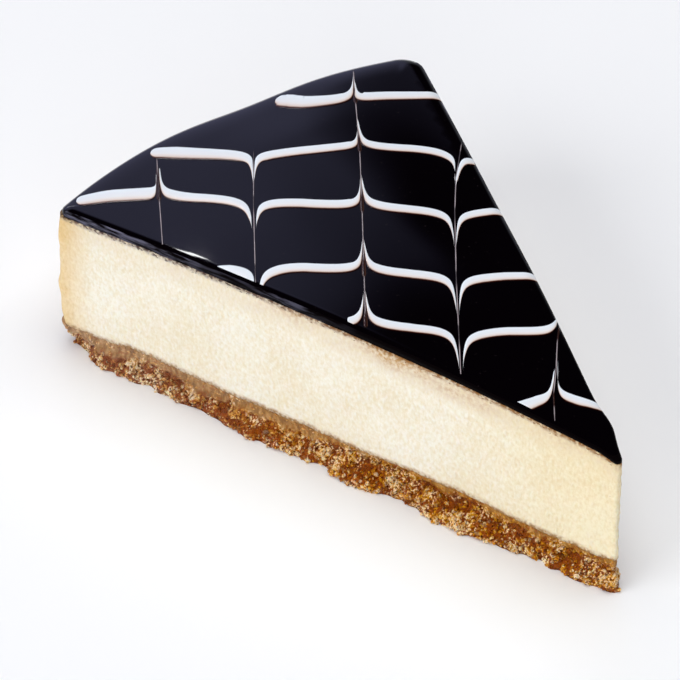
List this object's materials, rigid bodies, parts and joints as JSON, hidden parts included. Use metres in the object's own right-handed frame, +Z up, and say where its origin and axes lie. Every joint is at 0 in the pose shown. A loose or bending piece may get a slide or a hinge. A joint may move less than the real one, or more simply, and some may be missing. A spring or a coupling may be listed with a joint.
{
  "type": "chocolate glazed cheesecake slice",
  "caption": "Wedge of baked cheesecake on a crumb base under a dark chocolate glaze feathered with white icing, lying flat as cut.",
  "frame": {"origin": "middle of the slice's box on the floor it lies on", "axes": "+Z up out of the glaze; +Y along the wedge from its tip to its rim; -X is the side of the cut face shown in front"},
  "size_m": [0.0866, 0.1296, 0.036],
  "materials": {
    "baked_crumb": "rough granular golden-brown biscuit crumb pressed with butter",
    "cream_cheese": "moist satin ivory baked cream cheese, soft under the light",
    "dark_chocolate": "mirror-gloss near-black poured chocolate",
    "white_icing": "glossy cool-white icing drawn into the glaze while both were wet"
  },
  "bodies": {
    "root": {"crumb_base": "baked_crumb", "cheese_filling": "cream_cheese", "chocolate_glaze": "dark_chocolate"}
  },
  "joints": []
}
